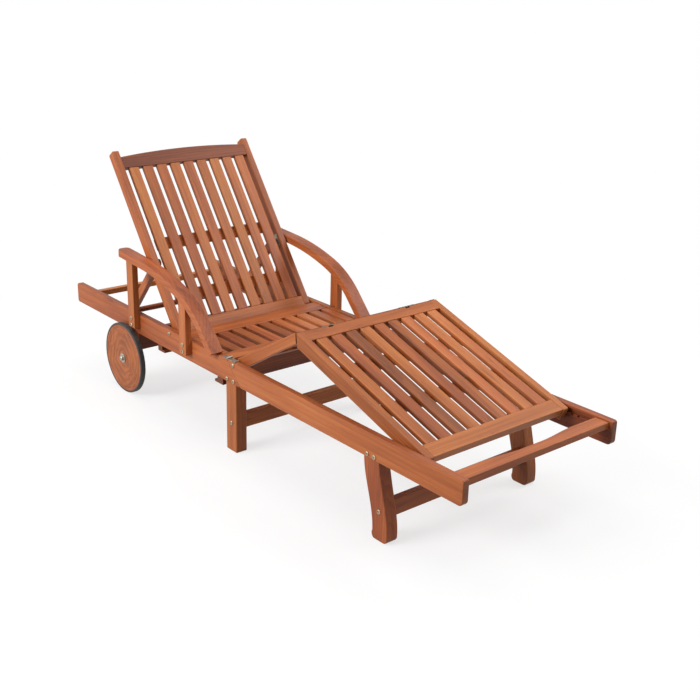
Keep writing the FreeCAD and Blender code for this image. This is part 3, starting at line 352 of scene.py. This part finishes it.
# Wheels and fittings
paint(wheel_wood("wood_wheel"), sides("wheel_disc"))
paint(rubber("tyre_rubber"), sides("wheel_tyre"))
paint(plated_steel("bolt_steel", BOLT_TINT), ["rear_frame_bolts", "front_frame_bolts", "calf_foot_pins"])
paint(plated_steel("hub_steel", HUB_TINT), ["stub_axles", "axle_caps"])
paint(plated_steel("hinge_steel", HINGE_TINT), [
    "fold_hinge_rear_leaves", "fold_hinge_front_leaves", "prop_brackets"])
paint(plated_steel("dull_steel", DULL_TINT), ["knee_hinge_thigh_leaves", "knee_hinge_calf_leaves"])


def white_for_camera(n):
    """Factor that is 1 for what the camera or a reflection sees directly."""
    path = n.add("ShaderNodeLightPath").outputs
    seen = n.math("MAXIMUM", path["Is Camera Ray"], path["Is Glossy Ray"])
    return n.math("MAXIMUM", seen, path["Is Transmission Ray"])


def floor():
    mesh = bpy.data.meshes.new("floor")
    corners = [(x * FLOOR_HALF, y * FLOOR_HALF, 0) for x, y in ((-1, -1), (1, -1), (1, 1), (-1, 1))]
    mesh.from_pydata(corners, [], [(0, 1, 2, 3)])
    piece = bpy.data.objects.new("floor", mesh)
    bpy.context.collection.objects.link(piece)
    n = Nodes("floor_white")
    seen = white_for_camera(n)
    pale = n.mix(seen, FLOOR_LIT, FLOOR_SEEN)
    lit = n.add("ShaderNodeBsdfDiffuse", {"Color": pale}).outputs[0]
    glow = n.add("ShaderNodeEmission", {"Color": (1, 1, 1, 1), "Strength": 1.0}).outputs[0]
    place = n.add("ShaderNodeTexCoord").outputs["Object"]
    reach = n.add("ShaderNodeVectorMath", {0: place}, operation="LENGTH").outputs["Value"]
    share = n.math("MULTIPLY", seen, n.span(reach, *FLOOR_FADE, *FLOOR_GLOW))
    mixed = n.add("ShaderNodeMixShader", {0: share, 1: lit, 2: glow}).outputs[0]
    mesh.materials.append(n.finish(mixed))


def world():
    """Soft light all round, seen as plain white."""
    sky = bpy.data.worlds.new("studio")
    bpy.context.scene.world = sky
    sky.use_nodes = True
    tree = sky.node_tree
    tree.nodes.clear()
    path = tree.nodes.new("ShaderNodeLightPath").outputs
    seen = path["Is Camera Ray"]
    for ray in ("Is Glossy Ray", "Is Transmission Ray"):
        either = tree.nodes.new("ShaderNodeMath")
        either.operation = "MAXIMUM"
        tree.links.new(seen, either.inputs[0])
        tree.links.new(path[ray], either.inputs[1])
        seen = either.outputs[0]
    soft = tree.nodes.new("ShaderNodeBackground")
    soft.inputs["Color"].default_value = SKY_COLOUR
    soft.inputs["Strength"].default_value = SKY_LEVEL
    white = tree.nodes.new("ShaderNodeBackground")
    white.inputs["Color"].default_value = (1, 1, 1, 1)
    mix = tree.nodes.new("ShaderNodeMixShader")
    tree.links.new(seen, mix.inputs[0])
    tree.links.new(soft.outputs[0], mix.inputs[1])
    tree.links.new(white.outputs[0], mix.inputs[2])
    out = tree.nodes.new("ShaderNodeOutputWorld")
    tree.links.new(mix.outputs[0], out.inputs["Surface"])


def area_light(name, place, target, size, power):
    data = bpy.data.lights.new(name, "AREA")
    data.shape = "SQUARE"
    data.size = size
    data.energy = power
    lamp = bpy.data.objects.new(name, data)
    lamp.location = place
    lamp.rotation_euler = (Vector(target) - Vector(place)).to_track_quat("-Z", "Y").to_euler()
    bpy.context.collection.objects.link(lamp)


def camera():
    """Stands to the near side of the foot end, looking down along the piece."""
    level = math.cos(CAMERA_PITCH)
    ahead = Vector((math.sin(CAMERA_YAW) * level, math.cos(CAMERA_YAW) * level, math.sin(CAMERA_PITCH)))
    right = ahead.cross(Vector((0, 0, 1))).normalized()
    up = right.cross(ahead)
    across = right * math.cos(CAMERA_ROLL) + up * math.sin(CAMERA_ROLL)
    above = up * math.cos(CAMERA_ROLL) - right * math.sin(CAMERA_ROLL)
    data = bpy.data.cameras.new("camera")
    data.sensor_width = CAMERA_SENSOR
    data.lens = CAMERA_LENS
    piece = bpy.data.objects.new("camera", data)
    turn = Matrix((across, above, -ahead)).transposed().to_4x4()
    piece.matrix_world = Matrix.Translation(CAMERA_PLACE) @ turn
    bpy.context.collection.objects.link(piece)
    bpy.context.scene.camera = piece


floor()
world()
for light in LIGHTS:
    area_light(*light)
camera()
bpy.context.scene.view_settings.view_transform = "Standard"
